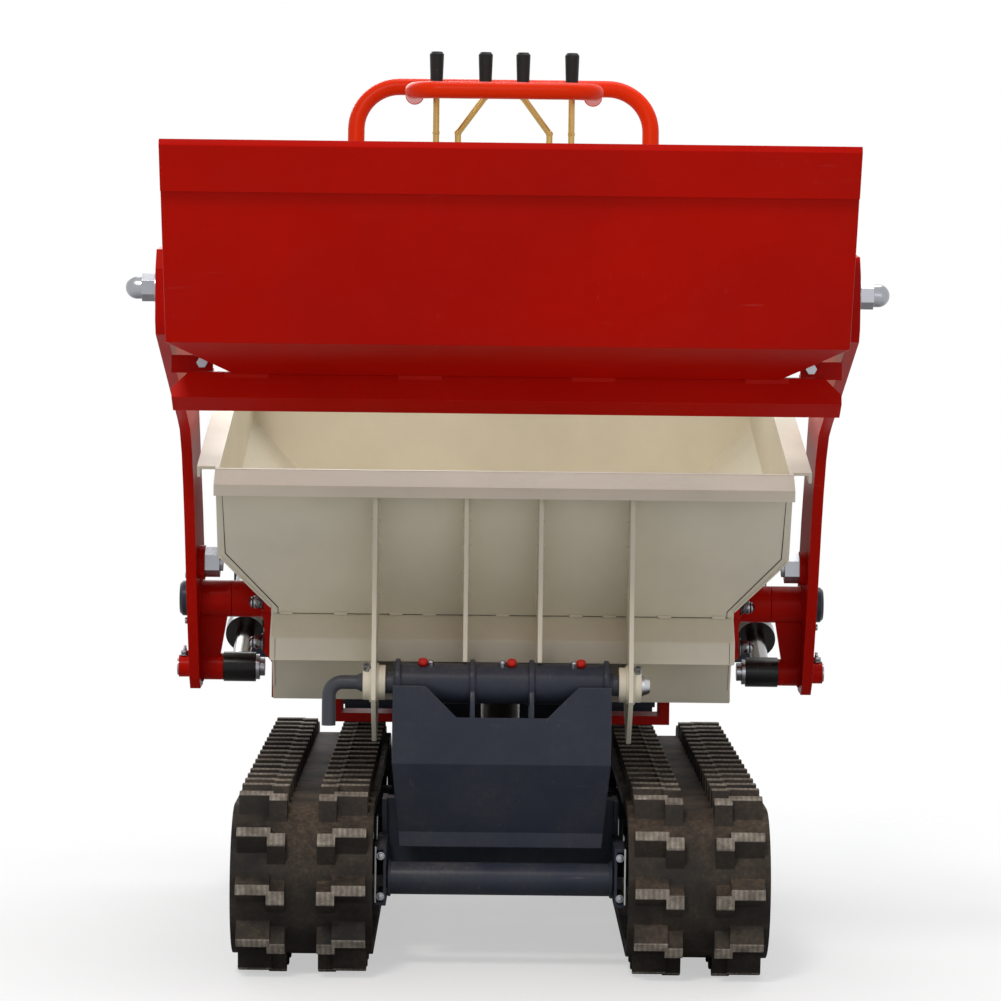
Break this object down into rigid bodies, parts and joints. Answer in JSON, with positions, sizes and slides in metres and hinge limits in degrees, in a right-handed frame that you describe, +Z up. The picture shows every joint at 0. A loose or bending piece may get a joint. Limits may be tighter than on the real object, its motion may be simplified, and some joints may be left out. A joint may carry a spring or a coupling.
{
  "type": "tracked power carrier",
  "caption": "Tracked power carrier with a forward-tipping skip, a self-loading bucket on gooseneck arms, rubber tracks and a rear handlebar with hand levers.",
  "frame": {"origin": "on the ground under the middle of the tracks, centre of the bounding box's bottom", "axes": "+Z up, -Y towards the bucket at the front, +X to the right when looking along +Y from the front"},
  "size_m": [0.9318, 1.9059, 1.2685],
  "materials": {
    "rubber": "matte, dusty",
    "cream_paint": "semi gloss",
    "red_paint": "gloss",
    "orange_paint": "gloss",
    "black_paint": "gloss",
    "anthracite_paint": "semi gloss",
    "chrome": "polished",
    "black_plastic": "matte",
    "aluminium": "as cast",
    "zinc": "yellow zinc plated",
    "steel": "bright zinc plated"
  },
  "bodies": {
    "chassis": {"track_belt_left": "rubber", "track_belt_right": "rubber", "track_frame_left": "anthracite_paint", "track_frame_right": "anthracite_paint", "drive_motor_left": "black_paint", "drive_motor_right": "black_paint", "chassis_rails": "anthracite_paint", "cross_beams": "anthracite_paint", "front_cross_tube": "anthracite_paint", "side_channels": "anthracite_paint", "front_cover": "anthracite_paint", "hinge_tube": "anthracite_paint", "grease_nipples": "steel", "loader_frame": "red_paint", "pivot_shafts": "anthracite_paint", "cylinder_posts": "anthracite_paint", "engine_deck": "anthracite_paint", "engine_block": "aluminium", "recoil_cover": "red_paint", "muffler": "steel", "air_filter": "black_plastic", "fuel_tank": "red_paint", "hydraulic_pump": "aluminium", "oil_tank": "anthracite_paint", "valve_block": "aluminium", "handlebar": "orange_paint", "handle_guard": "orange_paint"},
    "loader": {"loader_arm_left": "red_paint", "loader_arm_right": "red_paint", "bucket_shell": "red_paint", "cutting_edge": "red_paint", "bucket_beam": "red_paint", "bucket_bolts": "steel", "arm_fasteners": "steel"},
    "skip": {"skip_shell": "cream_paint", "skip_front_box": "cream_paint", "skip_ribs": "cream_paint", "hinge_pin": "steel", "boss_screws": "steel"},
    "lift_rod_left_body": {"lift_rod_left": "chrome"},
    "lift_barrel_left_body": {"lift_barrel_left": "black_paint"},
    "lift_rod_right_body": {"lift_rod_right": "chrome"},
    "lift_barrel_right_body": {"lift_barrel_right": "black_paint"},
    "tip_barrel_body": {"tip_barrel": "black_paint"},
    "tip_rod_body": {"tip_rod": "chrome"},
    "drive_sprocket_left_body": {"drive_sprocket_left": "steel"},
    "idler_wheel_left_body": {"idler_wheel_left": "anthracite_paint"},
    "roller_left_front_body": {"roller_left_front": "anthracite_paint"},
    "roller_left_mid_body": {"roller_left_mid": "anthracite_paint"},
    "roller_left_rear_body": {"roller_left_rear": "anthracite_paint"},
    "drive_sprocket_right_body": {"drive_sprocket_right": "steel"},
    "idler_wheel_right_body": {"idler_wheel_right": "anthracite_paint"},
    "roller_right_front_body": {"roller_right_front": "anthracite_paint"},
    "roller_right_mid_body": {"roller_right_mid": "anthracite_paint"},
    "roller_right_rear_body": {"roller_right_rear": "anthracite_paint"},
    "drive_lever_left_body": {"drive_lever_left": "zinc"},
    "drive_lever_right_body": {"drive_lever_right": "zinc"},
    "lift_lever_body": {"lift_lever": "zinc"},
    "tip_lever_body": {"tip_lever": "zinc"},
    "fuel_cap_body": {"fuel_cap": "black_plastic"}
  },
  "joints": [
    {"name": "loader_lift", "type": "hinge", "parent": "chassis", "child": "loader", "pos_m": [0, -0.1155, 0.454], "axis": [-1, 0, 0], "range_deg": [-61, 66]},
    {"name": "skip_tip", "type": "hinge", "parent": "chassis", "child": "skip", "pos_m": [0, -0.45, 0.37], "axis": [-1, 0, 0], "range_deg": [-50, 0]},
    {"name": "lift_rod_pin_left", "type": "hinge", "parent": "loader", "child": "lift_rod_left_body", "pos_m": [-0.36, -0.0685, 0.357], "axis": [-1, 0, 0], "range_deg": [-67, 62]},
    {"name": "lift_stroke_left", "type": "slide", "parent": "lift_rod_left_body", "child": "lift_barrel_left_body", "axis": [0, 0.9511, 0.309], "range_m": [-0.0935, 0.101]},
    {"name": "lift_rod_pin_right", "type": "hinge", "parent": "loader", "child": "lift_rod_right_body", "pos_m": [0.36, -0.0685, 0.357], "axis": [-1, 0, 0], "range_deg": [-67, 62]},
    {"name": "lift_stroke_right", "type": "slide", "parent": "lift_rod_right_body", "child": "lift_barrel_right_body", "axis": [0, 0.9511, 0.309], "range_m": [-0.0935, 0.101]},
    {"name": "tip_barrel_pin", "type": "hinge", "parent": "chassis", "child": "tip_barrel_body", "pos_m": [0, -0.262, 0.15], "axis": [-1, 0, 0], "range_deg": [-42.5, 1]},
    {"name": "tip_stroke", "type": "slide", "parent": "tip_barrel_body", "child": "tip_rod_body", "axis": [0, 0.8023, 0.5969], "range_m": [-0.001, 0.2365]},
    {"name": "drive_left", "type": "hinge", "parent": "chassis", "child": "drive_sprocket_left_body", "pos_m": [-0.252, 0.4675, 0.118], "axis": [1, 0, 0], "continuous": true},
    {"name": "idler_left", "type": "hinge", "parent": "chassis", "child": "idler_wheel_left_body", "pos_m": [-0.252, -0.4675, 0.118], "axis": [1, 0, 0], "continuous": true},
    {"name": "roller_left_front_turn", "type": "hinge", "parent": "chassis", "child": "roller_left_front_body", "pos_m": [-0.252, -0.23, 0.0665], "axis": [1, 0, 0], "continuous": true},
    {"name": "roller_left_mid_turn", "type": "hinge", "parent": "chassis", "child": "roller_left_mid_body", "pos_m": [-0.252, 0, 0.0665], "axis": [1, 0, 0], "continuous": true},
    {"name": "roller_left_rear_turn", "type": "hinge", "parent": "chassis", "child": "roller_left_rear_body", "pos_m": [-0.252, 0.23, 0.0665], "axis": [1, 0, 0], "continuous": true},
    {"name": "drive_right", "type": "hinge", "parent": "chassis", "child": "drive_sprocket_right_body", "pos_m": [0.252, 0.4675, 0.118], "axis": [1, 0, 0], "continuous": true},
    {"name": "idler_right", "type": "hinge", "parent": "chassis", "child": "idler_wheel_right_body", "pos_m": [0.252, -0.4675, 0.118], "axis": [1, 0, 0], "continuous": true},
    {"name": "roller_right_front_turn", "type": "hinge", "parent": "chassis", "child": "roller_right_front_body", "pos_m": [0.252, -0.23, 0.0665], "axis": [1, 0, 0], "continuous": true},
    {"name": "roller_right_mid_turn", "type": "hinge", "parent": "chassis", "child": "roller_right_mid_body", "pos_m": [0.252, 0, 0.0665], "axis": [1, 0, 0], "continuous": true},
    {"name": "roller_right_rear_turn", "type": "hinge", "parent": "chassis", "child": "roller_right_rear_body", "pos_m": [0.252, 0.23, 0.0665], "axis": [1, 0, 0], "continuous": true},
    {"name": "drive_lever_left_swing", "type": "hinge", "parent": "chassis", "child": "drive_lever_left_body", "pos_m": [-0.073, 0.845, 0.87], "axis": [1, 0, 0], "range_deg": [-10, 10], "stiffness_Nm_per_rad": 4},
    {"name": "drive_lever_right_swing", "type": "hinge", "parent": "chassis", "child": "drive_lever_right_body", "pos_m": [0.073, 0.845, 0.87], "axis": [1, 0, 0], "range_deg": [-10, 10], "stiffness_Nm_per_rad": 4},
    {"name": "lift_lever_swing", "type": "hinge", "parent": "chassis", "child": "lift_lever_body", "pos_m": [-0.108, 0.845, 0.87], "axis": [1, 0, 0], "range_deg": [-10, 10], "stiffness_Nm_per_rad": 4},
    {"name": "tip_lever_swing", "type": "hinge", "parent": "chassis", "child": "tip_lever_body", "pos_m": [0.108, 0.845, 0.87], "axis": [1, 0, 0], "range_deg": [-10, 10], "stiffness_Nm_per_rad": 4},
    {"name": "fuel_cap_turn", "type": "hinge", "parent": "chassis", "child": "fuel_cap_body", "pos_m": [-0.025, 0.655, 0.66], "axis": [0, 0, 1], "range_deg": [0, 90]}
  ],
  "couplings": [
    {"joint": "lift_rod_pin_left", "follows": "loader_lift", "ratio": -1},
    {"joint": "lift_stroke_left", "follows": "loader_lift", "m_per_rad": 0.087},
    {"joint": "lift_rod_pin_right", "follows": "loader_lift", "ratio": -1},
    {"joint": "lift_stroke_right", "follows": "loader_lift", "m_per_rad": 0.087},
    {"joint": "tip_barrel_pin", "follows": "skip_tip", "ratio": 0.8351},
    {"joint": "tip_stroke", "follows": "skip_tip", "m_per_rad": -0.26872},
    {"joint": "idler_left", "follows": "drive_left", "ratio": 1},
    {"joint": "roller_left_front_turn", "follows": "drive_left", "ratio": 3.0667},
    {"joint": "roller_left_mid_turn", "follows": "drive_left", "ratio": 3.0667},
    {"joint": "roller_left_rear_turn", "follows": "drive_left", "ratio": 3.0667},
    {"joint": "idler_right", "follows": "drive_right", "ratio": 1},
    {"joint": "roller_right_front_turn", "follows": "drive_right", "ratio": 3.0667},
    {"joint": "roller_right_mid_turn", "follows": "drive_right", "ratio": 3.0667},
    {"joint": "roller_right_rear_turn", "follows": "drive_right", "ratio": 3.0667}
  ]
}
